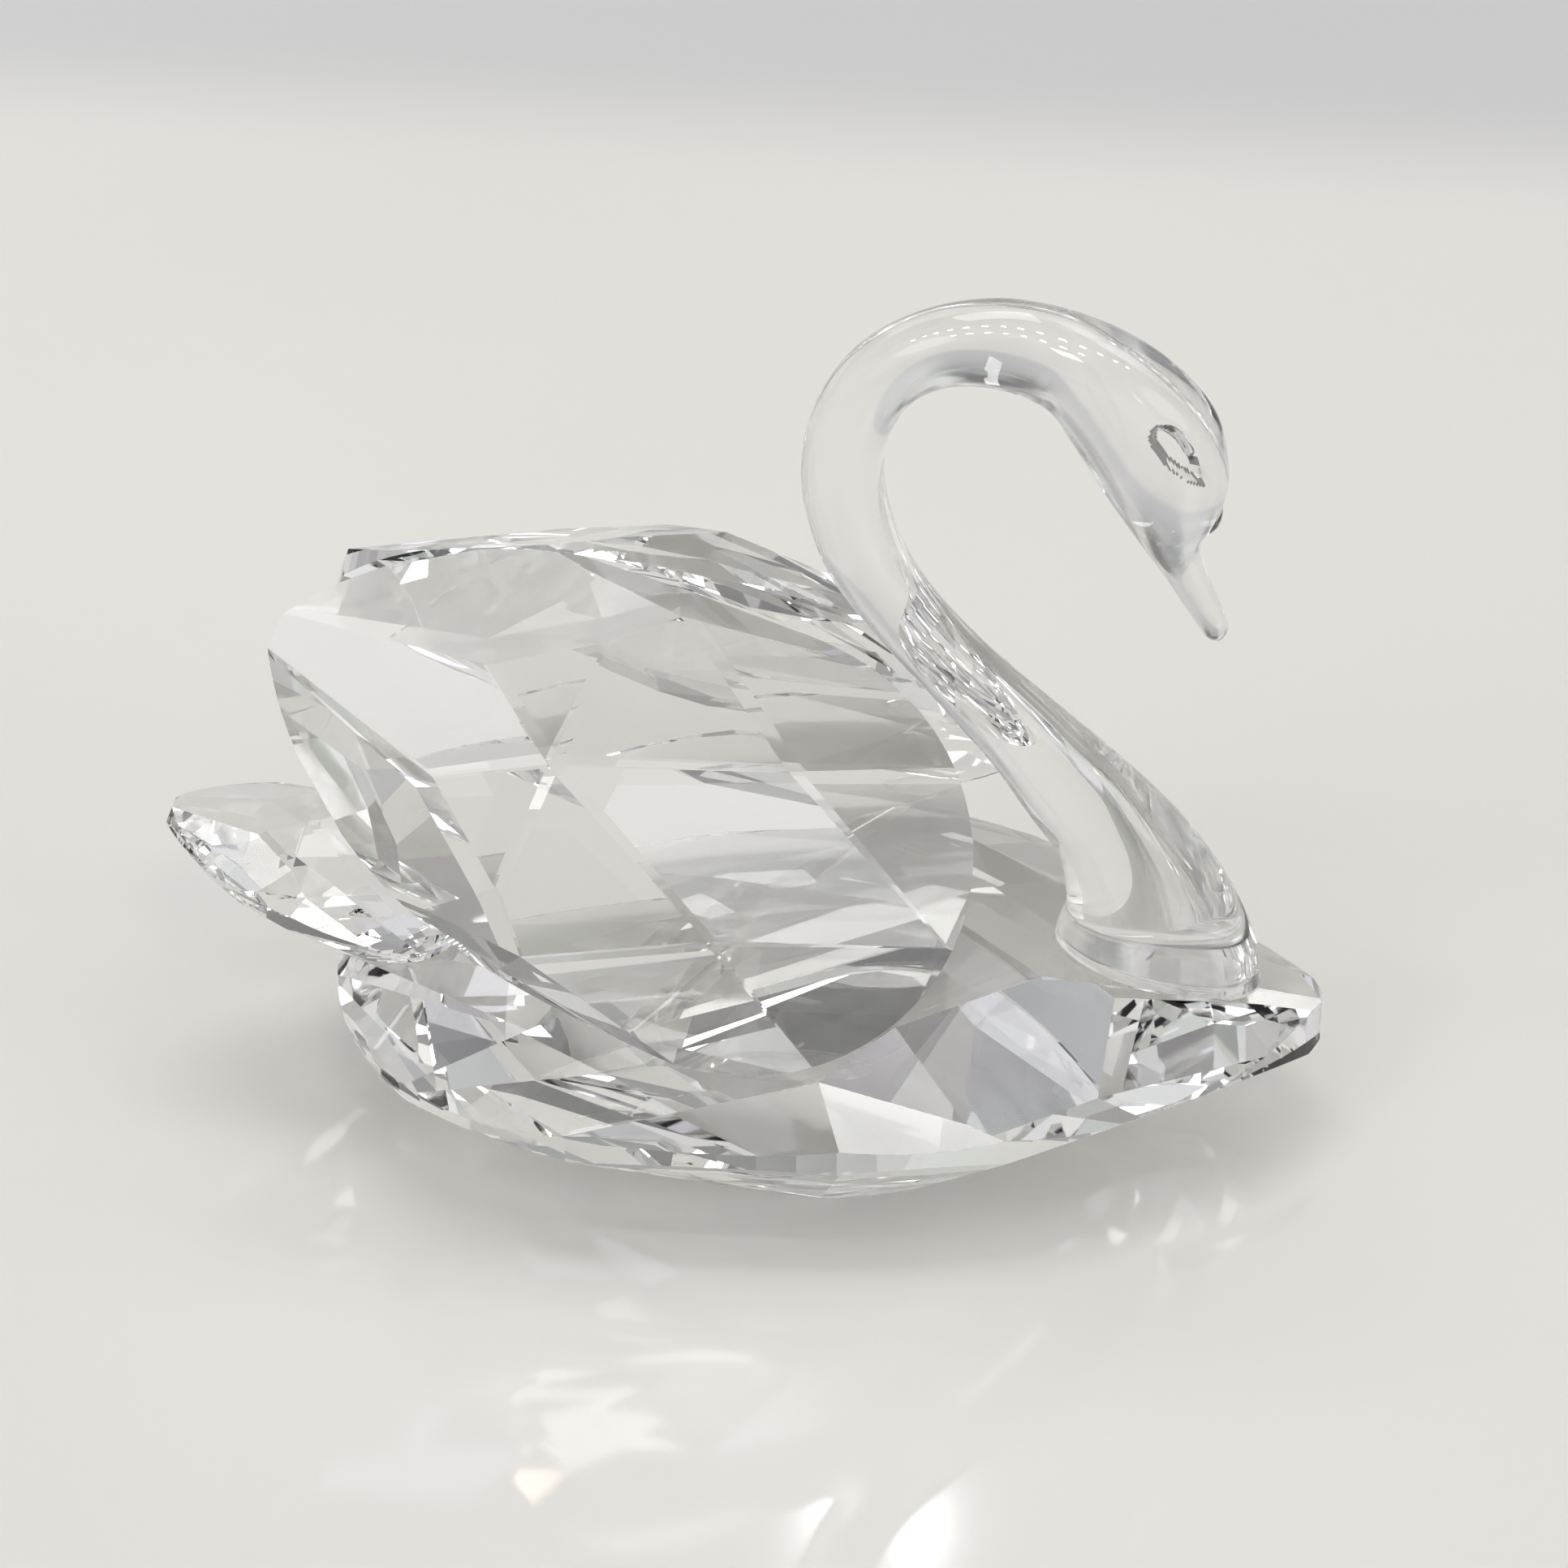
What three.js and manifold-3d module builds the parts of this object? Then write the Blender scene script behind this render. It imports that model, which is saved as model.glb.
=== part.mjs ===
// Faceted crystal swan: five cut or pressed crystal pieces and the clear adhesive between them.
//
// Frame: millimetres, +X towards the breast, +Y towards the swan's left wing, +Z up. The ground underside
// of the body stone lies on Z = 0, and the origin is the middle of the whole figurine's base.
//
// Body, wings and tail are the same almond cut in different proportions. A stone's own axes are
// x along its length from the narrow tip, y across its width, and z out of its crown from mid-girdle.
import * as THREE from "three";
import { ConvexGeometry } from "three/addons/geometries/ConvexGeometry.js";
import { mergeVertices } from "three/addons/utils/BufferGeometryUtils.js";
import Module from "manifold-3d";

const wasm = await Module();
wasm.setup();

// ---- driving dimensions: millimetres and degrees ----

// point is how far the tip reaches past the widest place, as a share of the length.
// rimTuck draws in the widest corner of the pavilion, as a share of the width.
const BODY = { length: 50, width: 31, girdle: 1.1, crown: 5.25, pavilion: 7.75, point: 0.692, rimTuck: 0.035 };
const WING = { length: 36.4, width: 21.8, girdle: 0.76, crown: 4.84, pavilion: 2.6, point: 0.7 };
const TAIL = { length: 16, width: 11.6, girdle: 0.7, crown: 1.7, pavilion: 1.4, point: 0.7 };

const BODY_GIRDLE_TOP = 5.9; // height of the girdle's upper edge above the ground underside
const BREAST_X = 25; // the body stone's narrow tip, with x counted from the body's middle
const CENTRE_X = -4.34; // the middle of the whole figurine's length, counted the same way

// Each wing leans in at the top, its tip swings out from the middle, and its long axis dips to the front.
// The two are set by hand in the real object, so they differ a little.
const RIGHT_WING_SET = { side: -1, tip: [-26.7, -3.55, 26.95], swing: 4.8, lean: 31.8, dip: 24.6 };
const LEFT_WING_SET = { side: 1, tip: [-25.2, 5.95, 24.6], swing: 5.2, lean: 32.2, dip: 18.5 };

const TAIL_SET = { tip: [-33.5, 0.4, 13.3], rise: 20.5 };

// The neck and head in the plane of symmetry, from the foot up to the beak: throat x and z, nape x and z,
// and half width. Each row spans one cross-section.
const NECK_OUTLINE = [
  [21.75, 8.3, 11.55, 10.1, 3.3],
  [21.45, 10.0, 11.7, 10.6, 3.25],
  [20.3, 12.6, 11.95, 11.3, 3.15],
  [18.35, 15.65, 11.9, 12.45, 2.95],
  [16.25, 18.05, 11.4, 14.65, 2.7],
  [14.1, 20.15, 10.05, 16.65, 2.45],
  [11.2, 22.75, 7.95, 19.8, 2.2],
  [7.9, 25.75, 5.15, 23.3, 2.0],
  [5.1, 28.95, 2.25, 26.8, 2.0],
  [3.45, 31.85, -0.15, 30.3, 2.05],
  [2.65, 34.95, -1.35, 34.45, 2.05],
  [2.75, 37.45, -1.0, 38.55, 2.0],
  [3.85, 39.7, 1.05, 42.2, 2.05],
  [5.7, 40.85, 4.35, 44.4, 2.1],
  [7.95, 40.9, 8.25, 45.2, 2.2],
  [10.15, 40.1, 12.2, 44.45, 2.5],
  [11.45, 38.3, 15.7, 42.65, 2.8],
  [12.55, 36.45, 18.3, 39.85, 2.95],
  [13.4, 35.15, 19.1, 36.65, 2.8],
  [14.2, 33.95, 18.7, 34.4, 2.4],
  [15.15, 32.5, 18.0, 33.1, 1.8],
  [15.95, 31.3, 17.95, 32.1, 1.3],
  [16.75, 30.05, 18.3, 30.8, 1.15],
  [17.5, 28.85, 18.85, 29.55, 1.05],
  [18.05, 27.95, 19.25, 28.55, 0.9],
  [18.4, 27.5, 19.4, 27.95, 0.65],
  [18.75, 27.3, 19.25, 27.5, 0.3],
];
const NECK_FOOT = { back: 11.5, front: 21.9, halfWidth: 3.3 };
const BOND = 0.2; // thickness of the adhesive under the neck
const BOND_CLEARANCE = 0.01; // between the adhesive film and the faces that it joins

// Beads of adhesive where the wings and the tail touch the body's crown: centre and half sizes.
const RIGHT_WING_BEAD = { centre: [-0.9, -11.7, 8.8], size: [4.4, 1.1, 0.7], roll: 20 };
const LEFT_WING_BEAD = { centre: [-0.5, 12.9, 8.3], size: [4.4, 1.1, 0.7], roll: -20 };
const TAIL_BEAD = { centre: [-20.4, 0.4, 7.2], size: [1.9, 2.2, 0.6], roll: 0 };

// ---- the almond cut ----

// Where facets meet on one face, as shares of length, of full width and of face height above the girdle.
const CUT = {
  peak: [0.41, 0, 1],
  nose: [0.278, 0.137, 0.71],
  shoulder: [0.415, 0.3, 0.71],
  rim: [0.483, 0.417, 0.527],
  rear: [0.7, 0.208, 0.52],
  edgeTip: [0, 0.075, 0.015],
  edgeFront: [0.28, 0.427, 0],
  edgeMiddle: [0.343, 0.447, 0],
  edgeRim: [0.457, 0.489, 0],
  edgeWide: [0.69, 0.5, 0],
  edgeRear: [0.893, 0.367, 0],
  edgeEnd: [0.99, 0, 0.04],
};
// Each facet as three of those points; "-" in front of a name means the point on the other side.
const FACETS = [
  ["nose", "-nose", "peak"],
  ["peak", "rear", "-rear"],
  ["edgeTip", "nose", "shoulder"],
  ["nose", "shoulder", "peak"],
  ["peak", "shoulder", "rear"],
  ["shoulder", "rim", "rear"],
  ["edgeFront", "shoulder", "rim"],
  ["edgeMiddle", "edgeRim", "rim"],
  ["edgeRim", "edgeWide", "rim"],
  ["rim", "rear", "edgeRear"],
  ["rear", "edgeRear", "edgeEnd"],
];
const WIDEST = 0.69;
const EDGE_STEPS = 40; // points along each side of the girdle

function cutPoint(name, stone, height) {
  const other = name.startsWith("-");
  const [u, v, w] = CUT[other ? name.slice(1) : name];
  const side = other ? -1 : 1;
  const tuck = name.endsWith("rim") && height < 0 ? (stone.rimTuck ?? 0) : 0;
  const z = Math.sign(height) * (stone.girdle / 2) + height * w;
  return new THREE.Vector3(u * stone.length, side * (v - tuck) * stone.width, z);
}

// Half width of the outline at a share u of the length: a long curve to the tip, a quarter ellipse behind.
function halfOutline(u, stone) {
  if (u > WIDEST) return (stone.width / 2) * Math.sqrt(1 - ((u - WIDEST) / (1 - WIDEST)) ** 2);
  return (stone.width / 2) * (1 - ((WIDEST - u) / stone.point) ** 3) ** 0.8;
}

function outlinePoints(stone) {
  const points = [];
  for (let i = 0; i < EDGE_STEPS; i++) {
    const u = 0.5 - 0.5 * Math.cos((Math.PI * i) / EDGE_STEPS);
    const half = halfOutline(u, stone);
    points.push([u * stone.length, half], [u * stone.length, -half]);
  }
  points.push([stone.length, 0]);
  return points;
}

// Cuts a convex solid, held as a list of polygons, by a plane, keeping the side behind its normal.
function cutByPlane(polygons, plane) {
  const kept = [];
  const rim = [];
  for (const polygon of polygons) {
    const part = [];
    polygon.forEach((a, i) => {
      const b = polygon[(i + 1) % polygon.length];
      const da = plane.distanceToPoint(a);
      const db = plane.distanceToPoint(b);
      if (da <= 0) part.push(a);
      if (da * db < 0) {
        const crossing = a.clone().lerp(b, da / (da - db));
        part.push(crossing);
        rim.push(crossing);
      }
    });
    if (part.length > 2) kept.push(part);
  }
  if (rim.length > 2) kept.push(rim);
  return kept;
}

// Facets are symmetric about the stone's length, so every facet is cut on both sides.
function facetPlanes(stone, height) {
  const planes = [];
  for (const names of FACETS)
    for (const side of [1, -1]) {
      const corners = names.map((name) => cutPoint(name, stone, height));
      for (const corner of corners) corner.y *= side;
      const plane = new THREE.Plane().setFromCoplanarPoints(...corners);
      if (plane.normal.z * height < 0) plane.negate();
      planes.push(plane);
    }
  return planes;
}

// The stone as a convex solid; floor, when given, is the height of a ground flat face below mid-girdle.
function almondStone(stone, floor) {
  const depth = Math.max(stone.crown, stone.pavilion) + stone.girdle;
  const outline = outlinePoints(stone);
  const corners = [];
  for (const [x, y] of outline)
    for (const z of [-depth, depth]) corners.push(new THREE.Vector3(x, y, z));
  const blank = new ConvexGeometry(corners).getAttribute("position");
  let polygons = [];
  for (let i = 0; i < blank.count; i += 3)
    polygons.push([0, 1, 2].map((k) => new THREE.Vector3().fromBufferAttribute(blank, i + k)));
  const planes = [...facetPlanes(stone, stone.crown), ...facetPlanes(stone, -stone.pavilion)];
  if (floor) planes.push(new THREE.Plane(new THREE.Vector3(0, 0, -1), -floor));
  for (const plane of planes) polygons = cutByPlane(polygons, plane);
  return new ConvexGeometry(distinct(polygons.flat()));
}

function distinct(points, apart = 0.02) {
  const kept = [];
  for (const point of points)
    if (!kept.some((other) => other.distanceTo(point) < apart)) kept.push(point);
  return kept;
}

// ---- the neck and head: one pressed piece, lofted between its two edges ----

const RING_SIDES = 28;
const RINGS_PER_SPAN = 3;
const EYE = { centre: [16.8, 38.9], size: [2.1, 0.9, 0.6], slant: 52, side: 2.75 };
const KNOB = { centre: [17.65, 34.45], radius: 1.25 };

// The front facet of the body, where the foot stands: its height at x and its slope.
function frontFacetHeight(x) {
  const [nose, peak] = [CUT.nose, CUT.peak];
  const u = (BREAST_X - x) / BODY.length;
  const share = peak[2] - ((peak[2] - nose[2]) * (peak[0] - u)) / (peak[0] - nose[0]);
  return BODY_GIRDLE_TOP + BODY.crown * share;
}

function ring(centre, across, depth, width) {
  const points = [];
  for (let i = 0; i < RING_SIDES; i++) {
    const angle = (2 * Math.PI * i) / RING_SIDES;
    const point = centre.clone().addScaledVector(across, depth * Math.cos(angle));
    point.y += width * Math.sin(angle);
    points.push(point);
  }
  return points;
}

// The foot's flat oval, lift above the front facet.
function footOval(lift) {
  const back = new THREE.Vector3(NECK_FOOT.back, 0, frontFacetHeight(NECK_FOOT.back) + lift);
  const front = new THREE.Vector3(NECK_FOOT.front, 0, frontFacetHeight(NECK_FOOT.front) + lift);
  const across = front.clone().sub(back).normalize();
  return ring(back.clone().lerp(front, 0.5), across, back.distanceTo(front) / 2, NECK_FOOT.halfWidth);
}

function neckRings() {
  const edge = (column) =>
    new THREE.CatmullRomCurve3(
      NECK_OUTLINE.map((row) => new THREE.Vector3(row[column], 0, row[column + 1])),
      false,
      "centripetal",
    );
  const throat = edge(0);
  const nape = edge(2);
  const widths = new THREE.SplineCurve(NECK_OUTLINE.map((row, i) => new THREE.Vector2(i, row[4])));
  const steps = (NECK_OUTLINE.length - 1) * RINGS_PER_SPAN;
  const rings = [footOval(BOND)];
  for (let i = 0; i <= steps; i++) {
    const front = throat.getPoint(i / steps);
    const back = nape.getPoint(i / steps);
    const across = front.clone().sub(back);
    const depth = across.length() / 2;
    rings.push(ring(front.lerp(back, 0.5), across.normalize(), depth, widths.getPoint(i / steps).y));
  }
  return rings;
}

// A closed skin over rings of equal count, with a flat fan at each end.
function skin(rings) {
  const positions = [];
  const triangle = (...corners) => corners.forEach((p) => positions.push(p.x, p.y, p.z));
  for (let r = 0; r + 1 < rings.length; r++)
    for (let i = 0; i < RING_SIDES; i++) {
      const j = (i + 1) % RING_SIDES;
      triangle(rings[r][i], rings[r][j], rings[r + 1][j]);
      triangle(rings[r][i], rings[r + 1][j], rings[r + 1][i]);
    }
  const first = rings[0];
  const last = rings[rings.length - 1];
  for (let i = 1; i + 1 < RING_SIDES; i++) {
    triangle(first[0], first[i + 1], first[i]);
    triangle(last[0], last[i], last[i + 1]);
  }
  const geometry = new THREE.BufferGeometry();
  geometry.setAttribute("position", new THREE.Float32BufferAttribute(positions, 3));
  return geometry;
}

// The teardrop hollow that stands for an eye, on the side given as 1 or -1.
function eyeCutter(side) {
  const cutter = new THREE.SphereGeometry(1, 16, 10);
  cutter.scale(...EYE.size);
  cutter.rotateY(THREE.MathUtils.degToRad(EYE.slant));
  cutter.translate(EYE.centre[0], side * EYE.side, EYE.centre[1]);
  return cutter;
}

function neckAndHead() {
  const knob = new THREE.SphereGeometry(KNOB.radius, 18, 12);
  knob.translate(KNOB.centre[0], 0, KNOB.centre[1]);
  let neck = solid(skin(neckRings())).add(solid(knob));
  for (const side of [1, -1]) neck = neck.subtract(solid(eyeCutter(side)));
  return geometryOf(neck);
}

// ---- joins and cuts ----

function solid(geometry, matrix = new THREE.Matrix4()) {
  const bare = geometry.index ? geometry.toNonIndexed() : geometry.clone();
  bare.deleteAttribute("normal");
  bare.deleteAttribute("uv");
  const merged = mergeVertices(bare.applyMatrix4(matrix), 1e-4);
  const vertProperties = merged.getAttribute("position").array;
  const triVerts = new Uint32Array(merged.index.array);
  return new wasm.Manifold(new wasm.Mesh({ numProp: 3, vertProperties, triVerts }));
}

function geometryOf(manifold) {
  const { vertProperties, triVerts } = manifold.getMesh();
  const geometry = new THREE.BufferGeometry();
  geometry.setAttribute("position", new THREE.BufferAttribute(vertProperties, 3));
  geometry.setIndex(new THREE.BufferAttribute(triVerts, 1));
  geometry.computeVertexNormals();
  return geometry;
}

// Where a stone stands, as a matrix that also swells it about its own middle by the clearance of a bond.
function swollen(mesh) {
  const box = new THREE.Box3().setFromBufferAttribute(mesh.geometry.getAttribute("position"));
  const middle = box.getCenter(new THREE.Vector3());
  const thickness = box.getSize(new THREE.Vector3()).z;
  const grow = 1 + (2 * BOND_CLEARANCE) / thickness;
  return mesh.matrixWorld
    .clone()
    .multiply(new THREE.Matrix4().makeTranslation(middle))
    .multiply(new THREE.Matrix4().makeScale(grow, grow, grow))
    .multiply(new THREE.Matrix4().makeTranslation(middle.negate()));
}

// A bead of adhesive, hollowed by the swollen stones that it joins so that it clears them, without any
// crumb that the hollowing splits off.
function beadBetween({ centre, size, roll }, neighbours) {
  const bead = new THREE.SphereGeometry(1, 24, 16);
  bead.scale(...size);
  bead.rotateX(THREE.MathUtils.degToRad(roll));
  bead.translate(...centre);
  let bond = solid(bead);
  for (const mesh of neighbours) {
    mesh.updateWorldMatrix(true, false);
    bond = bond.subtract(solid(mesh.geometry, swollen(mesh)));
  }
  const [largest] = bond.decompose().sort((a, b) => b.volume() - a.volume());
  return geometryOf(largest);
}

// ---- materials ----

const crystal = new THREE.MeshStandardMaterial({
  color: 0xf2f4f6,
  roughness: 0.02,
  metalness: 0,
  transparent: true,
  opacity: 0.35,
  flatShading: true,
});
const adhesive = new THREE.MeshStandardMaterial({
  color: 0xf4f3ee,
  roughness: 0.12,
  metalness: 0,
  transparent: true,
  opacity: 0.4,
});

function piece(name, geometry, material, parent) {
  const mesh = new THREE.Mesh(geometry, material);
  mesh.name = name;
  parent.add(mesh);
  return mesh;
}

// ---- the figurine ----

const radians = THREE.MathUtils.degToRad;
const swan = new THREE.Group();

function placeBody() {
  const middle = BODY_GIRDLE_TOP - BODY.girdle / 2;
  const mesh = piece("body_stone", almondStone(BODY, middle), crystal, swan);
  mesh.rotation.z = Math.PI;
  mesh.position.set(BREAST_X, 0, middle);
  return mesh;
}

function placeWing(name, { side, tip, swing, lean, dip }) {
  const turn = new THREE.Group();
  turn.rotation.set(radians(side * lean), radians(dip), radians(-side * swing), "ZXY");
  turn.position.set(...tip);
  swan.add(turn);
  const mesh = piece(name, almondStone(WING), crystal, turn);
  mesh.rotation.x = (-side * Math.PI) / 2;
  return mesh;
}

function placeTail() {
  const mesh = piece("tail_stone", almondStone(TAIL), crystal, swan);
  mesh.rotation.y = radians(TAIL_SET.rise);
  mesh.position.set(...TAIL_SET.tip);
  return mesh;
}

const body = placeBody();
const rightWing = placeWing("right_wing_stone", RIGHT_WING_SET);
const leftWing = placeWing("left_wing_stone", LEFT_WING_SET);
const tail = placeTail();
piece("neck_and_head", neckAndHead(), crystal, swan);

const film = [...footOval(BOND_CLEARANCE), ...footOval(BOND - BOND_CLEARANCE)];
piece("neck_foot_bond", new ConvexGeometry(film), adhesive, swan);
piece("right_wing_bond", beadBetween(RIGHT_WING_BEAD, [body, rightWing]), adhesive, swan);
piece("left_wing_bond", beadBetween(LEFT_WING_BEAD, [body, leftWing]), adhesive, swan);
piece("tail_bond", beadBetween(TAIL_BEAD, [body, tail]), adhesive, swan);

swan.position.x = -CENTRE_X;
const figurine = new THREE.Group();
figurine.add(swan);

export default figurine;
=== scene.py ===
"""The looks of the crystal swan: cut facets, a smooth pressed neck, clear adhesive and a bright table top.

Everything is in metres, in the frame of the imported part: +X towards the breast, +Z up, and the
ground underside of the body stone on Z = 0. Numbers multiplied by MM are millimetres.
"""

import math

import bmesh
import bpy
import numpy as np
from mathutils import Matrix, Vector


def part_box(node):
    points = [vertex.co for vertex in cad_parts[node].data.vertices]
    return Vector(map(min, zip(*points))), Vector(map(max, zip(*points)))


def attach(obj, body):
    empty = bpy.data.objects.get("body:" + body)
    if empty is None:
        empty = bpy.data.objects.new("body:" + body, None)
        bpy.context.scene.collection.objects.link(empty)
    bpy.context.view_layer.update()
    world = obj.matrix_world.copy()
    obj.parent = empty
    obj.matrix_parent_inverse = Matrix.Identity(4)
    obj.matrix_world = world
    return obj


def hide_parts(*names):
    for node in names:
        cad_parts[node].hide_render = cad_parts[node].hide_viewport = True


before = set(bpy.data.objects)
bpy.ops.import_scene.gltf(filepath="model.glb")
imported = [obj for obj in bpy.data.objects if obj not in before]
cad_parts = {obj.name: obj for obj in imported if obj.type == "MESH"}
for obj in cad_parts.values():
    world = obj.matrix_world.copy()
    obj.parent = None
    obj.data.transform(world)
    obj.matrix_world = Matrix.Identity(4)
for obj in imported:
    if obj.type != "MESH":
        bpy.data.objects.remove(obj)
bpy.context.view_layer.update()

MM = 0.001
BREAST_X = 25  # the body stone's narrow tip, millimetres from the body's own middle
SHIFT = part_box("body_stone")[1].x / MM - BREAST_X  # from the body's middle to the part's origin

STONES = {
    "body_stone": "crystal_body",
    "right_wing_stone": "crystal_wing",
    "left_wing_stone": "crystal_wing",
    "tail_stone": "crystal_tail",
}
BONDS = ["neck_foot_bond", "right_wing_bond", "left_wing_bond", "tail_bond"]


# ---- small helpers ----


def add_node(tree, kind, **values):
    """A shader node, with values set on its properties."""
    node = tree.nodes.new(kind)
    for name, value in values.items():
        setattr(node, name, value)
    return node


def link(tree, source, target):
    tree.links.new(source, target)


def ramp(tree, source, stops):
    """A colour ramp over a value: stops are (position, (r, g, b))."""
    node = add_node(tree, "ShaderNodeValToRGB")
    elements = node.color_ramp.elements
    while len(elements) < len(stops):
        elements.new(0.5)
    for element, (position, colour) in zip(elements, stops):
        element.position = position
        element.color = (*colour, 1)
    link(tree, source, node.inputs["Fac"])
    return node.outputs["Color"]


def mix_colours(tree, factor, first, second, blend="MIX"):
    """first towards second; each is a socket or a plain colour, and factor a socket or a number."""
    node = add_node(tree, "ShaderNodeMix", data_type="RGBA", blend_type=blend)
    colours = [socket for socket in node.inputs if socket.type == "RGBA"]
    for target, value in ((node.inputs[0], factor), (colours[0], first), (colours[1], second)):
        if hasattr(value, "is_linked"):
            link(tree, value, target)
        else:
            target.default_value = value if isinstance(value, (int, float)) else (*value, 1)
    return [socket for socket in node.outputs if socket.type == "RGBA"][0]


def noise(tree, vector, scale, detail):
    node = add_node(tree, "ShaderNodeTexNoise")
    node.inputs["Scale"].default_value = scale
    node.inputs["Detail"].default_value = detail
    link(tree, vector, node.inputs["Vector"])
    return node


def map_range(tree, source, low, high, to_low=0.0, to_high=1.0, smooth=True):
    """value from low to high, as to_low to to_high, and no further at either end."""
    node = add_node(tree, "ShaderNodeMapRange", interpolation_type="SMOOTHSTEP" if smooth else "LINEAR")
    for name, value in (("From Min", low), ("From Max", high), ("To Min", to_low), ("To Max", to_high)):
        node.inputs[name].default_value = value
    link(tree, source, node.inputs["Value"])
    return node.outputs["Result"]


def new_object(name, mesh):
    thing = bpy.data.objects.new(name, mesh)
    bpy.context.scene.collection.objects.link(thing)
    return thing


# ---- materials ----

# Noise scales, in features across a metre, and the depth of the waves in a pressed face.
POLISH_SCALE = 60
WAVE_SCALE = 140
WAVE_DEPTH = 0.02 * MM
CLOUD_SCALE = 9

PALE_TABLE = ((0.3, (0.79, 0.775, 0.725)), (0.7, (0.83, 0.815, 0.77)))
BEYOND_TABLE = (0.66, 0.66, 0.655)
TABLE_EDGE = 104 * MM
EDGE_BLUR = 9 * MM


def clear_solid(name, tint, ior, haze, waviness, alpha=1.0):
    """A clear solid: full transmission, a polish that varies up to haze, and a faint waviness."""
    material = bpy.data.materials.new(name)
    material.use_nodes = True
    tree = material.node_tree
    shader = tree.nodes["Principled BSDF"]
    shader.inputs["Base Color"].default_value = (*tint, 1)
    shader.inputs["Transmission Weight"].default_value = 1
    shader.inputs["IOR"].default_value = ior
    shader.inputs["Alpha"].default_value = alpha
    place = add_node(tree, "ShaderNodeTexCoord").outputs["Object"]
    polish = noise(tree, place, POLISH_SCALE, 4)
    roughness = map_range(tree, polish.outputs["Fac"], 0, 1, 0, haze, smooth=False)
    link(tree, roughness, shader.inputs["Roughness"])
    wave = noise(tree, place, WAVE_SCALE, 1)
    bump = add_node(tree, "ShaderNodeBump")
    bump.inputs["Strength"].default_value = waviness
    bump.inputs["Distance"].default_value = WAVE_DEPTH
    link(tree, wave.outputs["Fac"], bump.inputs["Height"])
    link(tree, bump.outputs["Normal"], shader.inputs["Normal"])
    return material


def table_top():
    """A pale glossy table with a faint cloudiness, greyer beyond its far edge."""
    material = bpy.data.materials.new("pale_table")
    material.use_nodes = True
    tree = material.node_tree
    shader = tree.nodes["Principled BSDF"]
    place = add_node(tree, "ShaderNodeTexCoord").outputs["Object"]
    cloud = noise(tree, place, CLOUD_SCALE, 2)
    tone = ramp(tree, cloud.outputs["Fac"], PALE_TABLE)
    split = add_node(tree, "ShaderNodeSeparateXYZ")
    link(tree, place, split.inputs["Vector"])
    beyond = map_range(tree, split.outputs["Y"], TABLE_EDGE - EDGE_BLUR, TABLE_EDGE + EDGE_BLUR)
    link(tree, mix_colours(tree, beyond, tone, BEYOND_TABLE), shader.inputs["Base Color"])
    shader.inputs["Roughness"].default_value = 0.07
    shader.inputs["IOR"].default_value = 1.45
    return material


# ---- the cut stones ----

FILM = 0.18 * MM  # thickness of the adhesive film under the neck's foot
FOOT_SIDES = 96
WELD = 0.002 * MM  # corners of the CAD mesh that are closer than this are one
FLAT = math.radians(0.5)  # triangles that bend less than this are one facet
WORN_EDGE = 0.45 * MM  # width of the tail's softened facet edges
WORN_ANGLE = math.radians(4)  # facets that meet at less than this keep their edge


def foot_frame():
    """Middle and two half axes, in metres, of the foot's oval on the body's front facet."""
    low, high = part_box("neck_foot_bond")
    back = Vector((low.x, 0, high.z))
    front = Vector((high.x, 0, low.z + FILM))
    return (back + front) / 2, (front - back) / 2, Vector((0, high.y, 0))


def covers(face, point):
    """Whether the point, seen along Z, is inside the face."""
    crossings = 0
    corners = [vertex.co for vertex in face.verts]
    for a, b in zip(corners, corners[1:] + corners[:1]):
        if (a.y > point.y) != (b.y > point.y):
            if a.x + (point.y - a.y) / (b.y - a.y) * (b.x - a.x) > point.x:
                crossings += 1
    return crossings % 2 == 1


def bonded_patch(shape):
    """Cuts the foot's oval into the facet under it, as a face of its own with the second material."""
    middle, along, across = foot_frame()
    facet = next(face for face in shape.faces if face.normal.z > 0 and covers(face, middle))
    normal = facet.normal.copy()
    point = facet.verts[0].co.copy()
    outer = list(facet.edges)
    bmesh.ops.delete(shape, geom=[facet], context="FACES_ONLY")
    ring = []
    for i in range(FOOT_SIDES):
        angle = 2 * math.pi * i / FOOT_SIDES
        spot = middle + along * math.cos(angle) + across * math.sin(angle)
        spot -= normal * (spot - point).dot(normal)
        ring.append(shape.verts.new(spot))
    inner = [shape.edges.new((ring[i - 1], ring[i])) for i in range(FOOT_SIDES)]
    bmesh.ops.triangle_fill(shape, use_beauty=True, use_dissolve=False, edges=outer + inner, normal=normal)
    patch = shape.faces.new(ring)
    patch.material_index = 1


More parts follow.
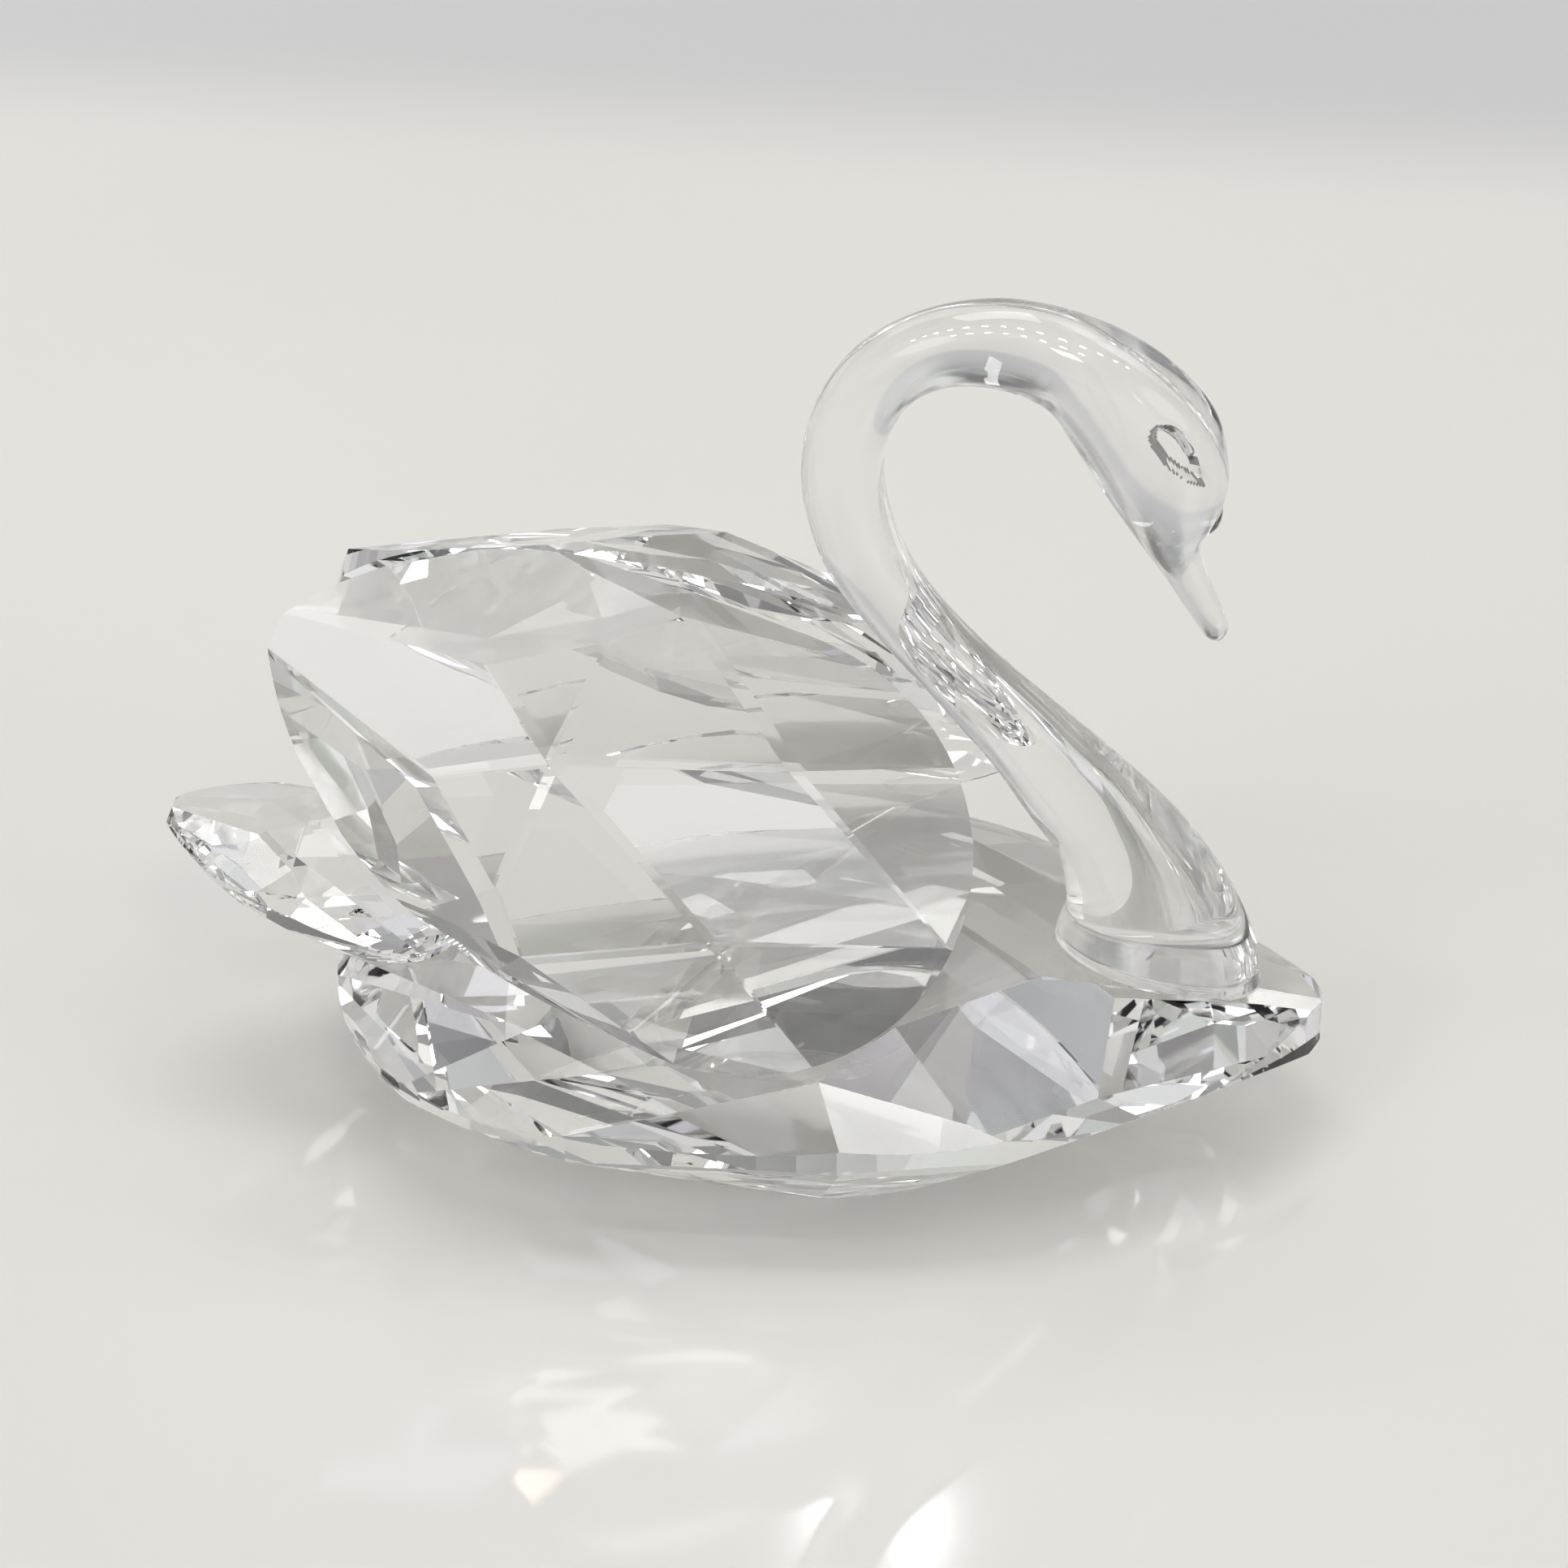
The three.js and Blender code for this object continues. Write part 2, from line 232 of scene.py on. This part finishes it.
def polished_stone(node, materials):
    """The CAD stone with its flat facets whole, in place of the triangulated node."""
    mesh = bpy.data.meshes.new(node + "_cut")
    shape = bmesh.new()
    shape.from_mesh(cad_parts[node].data)
    bmesh.ops.remove_doubles(shape, verts=shape.verts, dist=WELD)
    bmesh.ops.dissolve_limit(shape, angle_limit=FLAT, verts=shape.verts, edges=shape.edges)
    for face in shape.faces:
        face.material_index = 0
    shape.normal_update()
    if node == "body_stone":
        bonded_patch(shape)
    bmesh.ops.recalc_face_normals(shape, faces=shape.faces)
    shape.to_mesh(mesh)
    shape.free()
    for face in mesh.polygons:
        face.use_smooth = False
    for material in materials:
        mesh.materials.append(material)
    stone = new_object(node + "_cut", mesh)
    if node == "tail_stone":
        bevel = stone.modifiers.new("worn_edges", "BEVEL")
        bevel.width = WORN_EDGE
        bevel.segments = 3
        bevel.limit_method = "ANGLE"
        bevel.angle_limit = WORN_ANGLE
    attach(stone, "root")
    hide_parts(node)


# ---- the pressed neck and head ----

# The neck and head in the plane of symmetry, millimetres from the body's middle, from the foot up to the
# beak: throat x and z, nape x and z, and half width. Each row spans one cross-section.
NECK_OUTLINE = [
    (21.75, 8.3, 11.55, 10.1, 3.3),
    (21.45, 10.0, 11.7, 10.6, 3.25),
    (20.3, 12.6, 11.95, 11.3, 3.15),
    (18.35, 15.65, 11.9, 12.45, 2.95),
    (16.25, 18.05, 11.4, 14.65, 2.7),
    (14.1, 20.15, 10.05, 16.65, 2.45),
    (11.2, 22.75, 7.95, 19.8, 2.2),
    (7.9, 25.75, 5.15, 23.3, 2.0),
    (5.1, 28.95, 2.25, 26.8, 2.0),
    (3.45, 31.85, -0.15, 30.3, 2.05),
    (2.65, 34.95, -1.35, 34.45, 2.05),
    (2.75, 37.45, -1.0, 38.55, 2.0),
    (3.85, 39.7, 1.05, 42.2, 2.05),
    (5.7, 40.85, 4.35, 44.4, 2.1),
    (7.95, 40.9, 8.25, 45.2, 2.2),
    (10.15, 40.1, 12.2, 44.45, 2.5),
    (11.45, 38.3, 15.7, 42.65, 2.8),
    (12.55, 36.45, 18.3, 39.85, 2.95),
    (13.4, 35.15, 19.1, 36.65, 2.8),
    (14.2, 33.95, 18.7, 34.4, 2.4),
    (15.15, 32.5, 18.0, 33.1, 1.8),
    (15.95, 31.3, 17.95, 32.1, 1.3),
    (16.75, 30.05, 18.3, 30.8, 1.15),
    (17.5, 28.85, 18.85, 29.55, 1.05),
    (18.05, 27.95, 19.25, 28.55, 0.9),
    (18.4, 27.5, 19.4, 27.95, 0.65),
    (18.75, 27.3, 19.25, 27.5, 0.3),
]
NECK_SIDES = 144
SPAN_STEPS = 22  # rings from one row of the outline to the next
SIDE_CROWDING = 0.3  # how far the points around a ring crowd towards its two sides, where the eyes are

# The teardrop grooves that stand for eyes, in millimetres from the body's middle and degrees below the
# horizontal. The wall and the rim are shares of the way from the groove's middle line to its outline.
EYE_MIDDLE = (16.8, 38.9)
EYE_HALF_LENGTH = 2.1
EYE_HALF_WIDTH = 0.66
EYE_SLANT = 52
EYE_DEPTH = 0.8
EYE_WALL = (0.66, 1.0)  # where the groove's floor rises to the head
EYE_RIM = (0.8, 1.0)  # the part of the wall that looks dark from painted shade, a near-black tint along the groove's rim
EYE_TAPER = 0.45  # how much the groove widens at its rear end and narrows at its front end
EYES_FROM = 1  # the grooves lie beyond this distance from the plane of symmetry, millimetres
NO_EYE = 2  # a reach that is outside every groove

KNOB_MIDDLE = (17.65, 0, 34.45)
KNOB_RADIUS = 1.25
FOOT_LIFT = 0.01  # millimetres between the foot and the adhesive film


def spline(points, steps):
    """Catmull-Rom through rows of numbers, evenly stepped between each pair."""
    rows = np.array(points, float)
    rows = np.vstack([2 * rows[0] - rows[1], rows, 2 * rows[-1] - rows[-2]])
    t = np.linspace(0, 1, steps, endpoint=False)[:, None]
    made = []
    for a, b, c, d in zip(rows, rows[1:], rows[2:], rows[3:]):
        bend = 2 * a - 5 * b + 4 * c - d
        twist = 3 * b - a - 3 * c + d
        made.append(0.5 * (2 * b + (c - a) * t + bend * t**2 + twist * t**3))
    return np.vstack([*made, rows[-2]])


def smooth_step(low, high, value):
    share = np.clip((value - low) / (high - low), 0, 1)
    return share * share * (3 - 2 * share)


def outward(grid):
    """Unit normals of a grid of rings, pointing away from each ring's middle."""
    around = np.roll(grid, -1, axis=1) - np.roll(grid, 1, axis=1)
    along = np.gradient(grid, axis=0)
    normal = np.cross(around, along)
    normal /= np.linalg.norm(normal, axis=2, keepdims=True)
    away = grid - grid.mean(axis=1, keepdims=True)
    return normal * np.sign((normal * away).sum(axis=2, keepdims=True))


def eye_reach(grid):
    """How far each point is from an eye's middle line, as a share of the way out to the groove's rim."""
    slant = math.radians(EYE_SLANT)
    x = grid[:, :, 0] - EYE_MIDDLE[0]
    z = grid[:, :, 2] - EYE_MIDDLE[1]
    along = (x * math.cos(slant) - z * math.sin(slant)) / EYE_HALF_LENGTH
    across = (x * math.sin(slant) + z * math.cos(slant)) / EYE_HALF_WIDTH
    taper = np.clip(1 - EYE_TAPER * along, 0.3, 1.6)
    reach = np.sqrt(along**2 + (across / taper) ** 2)
    reach[np.abs(grid[:, :, 1]) < EYES_FROM] = NO_EYE
    return reach


def with_eyes(grid):
    """The grid pressed in along its normals where the two grooves are."""
    depth = EYE_DEPTH * (1 - smooth_step(*EYE_WALL, eye_reach(grid)))
    return grid - depth[:, :, None] * outward(grid)


def groove_rims(grid):
    """Which points lie on the rim of an eye, where the groove's wall gets painted shade."""
    reach = eye_reach(grid)
    return (reach > EYE_RIM[0]) & (reach < EYE_RIM[1])


def with_knob(grid):
    """The grid pushed out to a ball at the root of the beak wherever the ball stands proud."""
    normal = outward(grid)
    away = grid - np.array(KNOB_MIDDLE)
    towards = (away * normal).sum(axis=2)
    inner = towards**2 - (away**2).sum(axis=2) + KNOB_RADIUS**2
    lift = np.where(inner > 0, np.sqrt(np.maximum(inner, 0)) - towards, 0)
    lift = np.where(lift < KNOB_RADIUS, np.maximum(lift, 0), 0)
    return grid + lift[:, :, None] * normal


def ring_angles():
    """Angles around a ring, from the throat round to the nape and back."""
    even = np.linspace(0, 2 * math.pi, NECK_SIDES, endpoint=False)
    return even + SIDE_CROWDING * np.sin(2 * even)


def neck_grid():
    """Rings of points from the foot to the beak, millimetres from the body's middle."""
    rows = spline(NECK_OUTLINE, SPAN_STEPS)
    throat, nape, half_width = rows[:, 0:2], rows[:, 2:4], rows[:, 4]
    middle, reach = (throat + nape) / 2, (throat - nape) / 2
    angle = ring_angles()
    grid = np.zeros((len(rows), NECK_SIDES, 3))
    grid[:, :, 0] = middle[:, 0, None] + reach[:, 0, None] * np.cos(angle)
    grid[:, :, 1] = half_width[:, None] * np.sin(angle)
    grid[:, :, 2] = middle[:, 1, None] + reach[:, 1, None] * np.cos(angle)
    return with_knob(with_eyes(grid))


def foot_ring():
    """The foot's lowest ring, just over the adhesive film, in the same terms as neck_grid."""
    middle, along, across = foot_frame()
    angle = ring_angles()[:, None]
    ring = np.array(middle) + np.cos(angle) * np.array(along) + np.sin(angle) * np.array(across)
    return ring / MM + np.array((-SHIFT, 0, FOOT_LIFT))


def smooth_neck(materials):
    """The neck and head as one smooth skin, in place of the faceted CAD node."""
    grid = np.concatenate([foot_ring()[None], neck_grid()])
    rings = len(grid)
    points = (grid + np.array((SHIFT, 0, 0))) * MM
    index = np.arange(rings * NECK_SIDES).reshape(rings, NECK_SIDES)
    beside = np.roll(index, -1, axis=1)
    sides = np.stack([index[:-1], beside[:-1], beside[1:], index[1:]], axis=-1).reshape(-1, 4)
    faces = [tuple(face) for face in sides.tolist()]
    faces += [tuple(index[0][::-1].tolist()), tuple(index[-1].tolist())]
    mesh = bpy.data.meshes.new("neck_smooth")
    mesh.from_pydata(points.reshape(-1, 3).tolist(), [], faces)
    for material in materials:
        mesh.materials.append(material)
    for face in mesh.polygons:
        face.use_smooth = len(face.vertices) == 4
    mesh.polygons[len(sides)].material_index = 1
    # The eye grooves' rims take the third material, a near-black tint that is painted shade.
    rims = groove_rims(grid)[:-1].reshape(-1)
    for face in mesh.polygons[: len(sides)]:
        if rims[face.index]:
            face.material_index = 2
    neck = new_object("neck_smooth", mesh)
    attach(neck, "root")
    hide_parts("neck_and_head")


# ---- stage ----

TABLE_HALF = 1.5
TABLE_GAP = 0.03 * MM  # keeps the table off the body's ground underside


def make_table():
    """One face, far wider than the picture."""
    mesh = bpy.data.meshes.new("table")
    signs = ((-1, -1), (1, -1), (1, 1), (-1, 1))
    corners = [(x * TABLE_HALF, y * TABLE_HALF, -TABLE_GAP) for x, y in signs]
    mesh.from_pydata(corners, [], [(0, 1, 2, 3)])
    mesh.materials.append(table_top())
    new_object("table", mesh)


def from_angles(azimuth, elevation):
    """A unit direction: azimuth 0 is towards -Y, the swan's right side, turning to +X."""
    a, e = math.radians(azimuth), math.radians(elevation)
    return Vector((math.sin(a) * math.cos(e), -math.cos(a) * math.cos(e), math.sin(e)))


def spot_mask(tree, place, towards, inner, outer):
    """1 within inner degrees of a direction, falling to 0 at outer degrees."""
    product = add_node(tree, "ShaderNodeVectorMath", operation="DOT_PRODUCT")
    link(tree, place, product.inputs[0])
    product.inputs[1].default_value = towards
    low, high = math.cos(math.radians(outer)), math.cos(math.radians(inner))
    return map_range(tree, product.outputs["Value"], low, high)


# The room's greys against the height of a direction, from the horizon to straight up.
ROOM_GREYS = (
    (0.0, (0.46, 0.46, 0.46)),
    (0.3, (0.56, 0.56, 0.56)),
    (0.6, (0.58, 0.58, 0.58)),
    (1.0, (0.58, 0.58, 0.59)),
)
MOTTLE = (0.6, 1.35)  # how far the greys vary from one part of the room to the next
TINT = 0.35  # how much colour the greys take on
SHADE = (0.03, 0.03, 0.035)  # what a fully dark corner looks like

# Dark corners of the room as azimuth, elevation, inner and outer angle, and how dark each one is.
DARK_CORNERS = [
    (6, 30, 14, 24, 0.75),
    (-18, 8, 6, 13, 0.35),
    (120, 24, 12, 22, 0.75),
    (172, 18, 9, 24, 0.5),
    (195, 56, 11, 19, 0.85),
    (168, 64, 8, 14, 0.6),
]
# Bright walls and windows as azimuth, elevation, inner and outer angle, and colour.
BRIGHT_WALLS = [
    (60, 22, 10, 15, (2.2, 2.2, 2.3)),
    (-45, 40, 10, 14, (2.6, 2.6, 2.8)),
    (-115, 34, 12, 18, (0.75, 0.75, 0.8)),
    (108, 50, 7, 11, (1.7, 1.7, 2.2)),
    (140, 60, 7, 11, (2.0, 1.9, 1.8)),
]


def make_world():
    """The room as the crystal sees it: mottled greys, a few bright walls and a few dark corners."""
    world = bpy.data.worlds.new("bright_room")
    bpy.context.scene.world = world
    world.use_nodes = True
    tree = world.node_tree
    background = tree.nodes["Background"]
    place = add_node(tree, "ShaderNodeTexCoord").outputs["Generated"]
    split = add_node(tree, "ShaderNodeSeparateXYZ")
    link(tree, place, split.inputs["Vector"])
    grey = ramp(tree, split.outputs["Z"], ROOM_GREYS)
    mottle = noise(tree, place, 2.6, 1)
    tone = map_range(tree, mottle.outputs["Fac"], 0.4, 0.6, *MOTTLE)
    grey = mix_colours(tree, 1, grey, tone, "MULTIPLY")
    tints = noise(tree, place, 3.4, 2)
    grey = mix_colours(tree, TINT, grey, tints.outputs["Color"], "SOFT_LIGHT")
    for azimuth, elevation, inner, outer, colour in BRIGHT_WALLS:
        mask = spot_mask(tree, place, from_angles(azimuth, elevation), inner, outer)
        grey = mix_colours(tree, mask, grey, colour)
    for azimuth, elevation, inner, outer, strength in DARK_CORNERS:
        mask = spot_mask(tree, place, from_angles(azimuth, elevation), inner, outer)
        scaled = add_node(tree, "ShaderNodeMath", operation="MULTIPLY")
        link(tree, mask, scaled.inputs[0])
        scaled.inputs[1].default_value = strength
        grey = mix_colours(tree, scaled.outputs[0], grey, SHADE)
    link(tree, grey, background.inputs["Color"])
    background.inputs["Strength"].default_value = 1


def area_light(name, where, aim, area, radiance):
    """A lamp of a given brightness, whatever its area in square metres."""
    data = bpy.data.lights.new(name, "AREA")
    data.energy = radiance * math.pi * area
    lamp = new_object(name, data)
    lamp.location = where
    lamp.rotation_euler = (Vector(aim) - Vector(where)).to_track_quat("-Z", "Y").to_euler()
    return lamp


def softbox(name, where, aim, width, height, radiance):
    lamp = area_light(name, where, aim, width * height, radiance)
    lamp.data.shape = "RECTANGLE"
    lamp.data.size = width
    lamp.data.size_y = height


def round_lamp(name, where, aim, diameter, radiance, colour=(1, 1, 1)):
    lamp = area_light(name, where, aim, math.pi * diameter**2 / 4, radiance)
    lamp.data.shape = "DISK"
    lamp.data.size = diameter
    lamp.data.color = colour
    return lamp


SWAN = (0, 0, 0)
KEY_DISTANCE = 0.9
TRACK_HEIGHT = 1.0
TRACKS = ((77, 14), (60, 8))  # elevation from the swan, in degrees, and number of lamps
TRACK_SPACING = 0.13
# The lamps along the tracks lean warm, green and blue in turn, for the fire that a cut stone throws.
TRACK_TINTS = [(1, 0.72, 0.55), (0.75, 1, 0.78), (0.68, 0.8, 1)]
REAR_LAMPS = ((-0.079, 0.873, 0.782), (-0.060, 0.873, 0.782))


def make_lights():
    softbox("overhead_softbox", (-0.1, 0.35, 1.0), SWAN, 0.6, 0.4, 3.7)
    softbox("key_softbox", from_angles(21, 46) * KEY_DISTANCE, (0, 0, 0.01), 0.13, 0.13, 8)
    for i, where in enumerate(REAR_LAMPS):
        round_lamp(f"rear_lamp_{i}", where, SWAN, 0.012, 45)
    for row, (elevation, count) in enumerate(TRACKS):
        towards = from_angles(0, elevation)
        y = towards.y / towards.z * TRACK_HEIGHT
        for i in range(count):
            x = TRACK_SPACING * (i - (count - 1) / 2)
            where, aim = (x, y, TRACK_HEIGHT), (x, 0, 0)
            round_lamp(f"track_{row}_{i}", where, aim, 0.024, 55, TRACK_TINTS[i % 3])
            # Seen only in reflections: the row of highlights along the neck.
            halo = round_lamp(f"halo_{row}_{i}", where, aim, 0.05, 50)
            halo.visible_diffuse = False
            halo.visible_transmission = False


# Where the camera stands around the swan and what it aims at, in degrees and millimetres.
CAMERA_ANGLES = (6.17, 33.65)
CAMERA_DISTANCE = 300
CAMERA_AIM = (2.15, -0.47, 17.66)


def make_camera():
    towards = from_angles(*CAMERA_ANGLES)
    aim = Vector(CAMERA_AIM) * MM
    data = bpy.data.cameras.new("camera")
    data.sensor_width = 36
    data.lens = 138.76
    data.clip_start = 0.01
    data.clip_end = 20
    camera = new_object("camera", data)
    camera.location = aim + towards * CAMERA_DISTANCE * MM
    camera.rotation_euler = (-towards).to_track_quat("-Z", "Y").to_euler()
    bpy.context.scene.camera = camera


def render_settings():
    scene = bpy.context.scene
    scene.view_settings.view_transform = "Standard"
    scene.cycles.max_bounces = 24
    scene.cycles.transmission_bounces = 24
    scene.cycles.glossy_bounces = 12
    scene.cycles.transparent_max_bounces = 24


cut_crystal = clear_solid("cut_crystal", (0.955, 0.955, 0.945), 1.56, 0.02, 0.0)
pressed_crystal = clear_solid("pressed_crystal", (0.965, 0.965, 0.96), 1.52, 0.02, 0.3)
# A rougher wall with a near-black tint: painted shade along the rims of the eye grooves.
painted_shade_groove = clear_solid("painted_shade_groove", (0.1, 0.1, 0.1), 1.52, 0.3, 0.3)
optical_contact = clear_solid("optical_contact", (1, 1, 1), 1.5, 0.02, 0.0, alpha=0.03)
adhesive = clear_solid("clear_adhesive", (0.99, 0.985, 0.96), 1.5, 0.15, 0.2, alpha=0.12)
for node, slot in STONES.items():
    polished_stone(node, [cut_crystal, optical_contact])
smooth_neck([pressed_crystal, optical_contact, painted_shade_groove])
for node in BONDS:
    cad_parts[node].material_slots[0].material = adhesive
make_table()
make_world()
make_lights()
make_camera()
render_settings()
